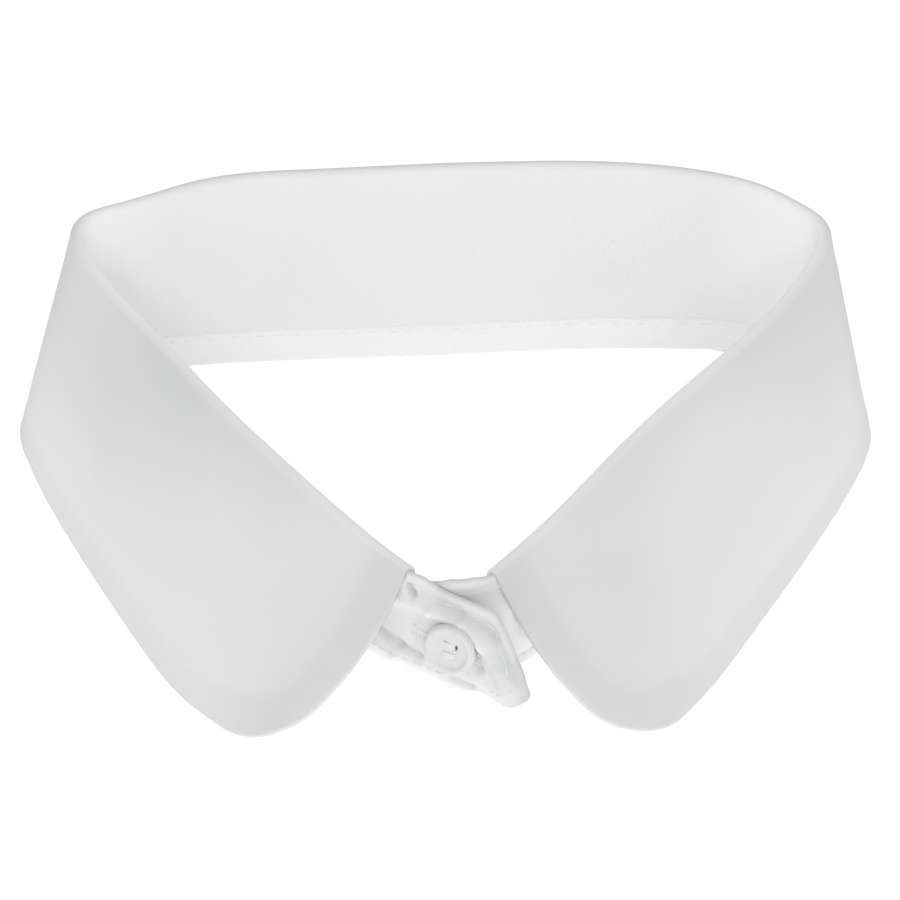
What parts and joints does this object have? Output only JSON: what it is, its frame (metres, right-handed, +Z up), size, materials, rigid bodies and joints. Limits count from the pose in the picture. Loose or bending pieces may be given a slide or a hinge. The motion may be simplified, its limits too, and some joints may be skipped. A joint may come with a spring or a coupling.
{
  "type": "detachable shirt collar",
  "caption": "One-piece round-tipped shirt collar on its own neck binding, turned over a soft roll and fastened in front by a button tab, in its open ring form.",
  "frame": {"origin": "middle of the neck ring, in the plane of the neck seam at the back, where a neck holds the collar", "axes": "+X across the front towards the wearer's left, +Y towards the back, +Z up; the neck plane slopes 25 degrees, front down"},
  "size_m": [0.1766, 0.1197, 0.1006],
  "materials": {
    "collar_cotton": "white woven cotton poplin, pressed",
    "under_cotton": "white woven cotton poplin",
    "binding_cotton": "white cotton binding strip",
    "tab_cotton": "white cotton poplin, creased, edge stitched",
    "button_pearl": "white shirt button, soft gloss"
  },
  "bodies": {
    "root": {"top_collar": "collar_cotton", "under_collar": "under_cotton", "neck_band": "binding_cotton", "tab_over": "tab_cotton", "tab_under": "tab_cotton", "button": "button_pearl"}
  },
  "joints": []
}
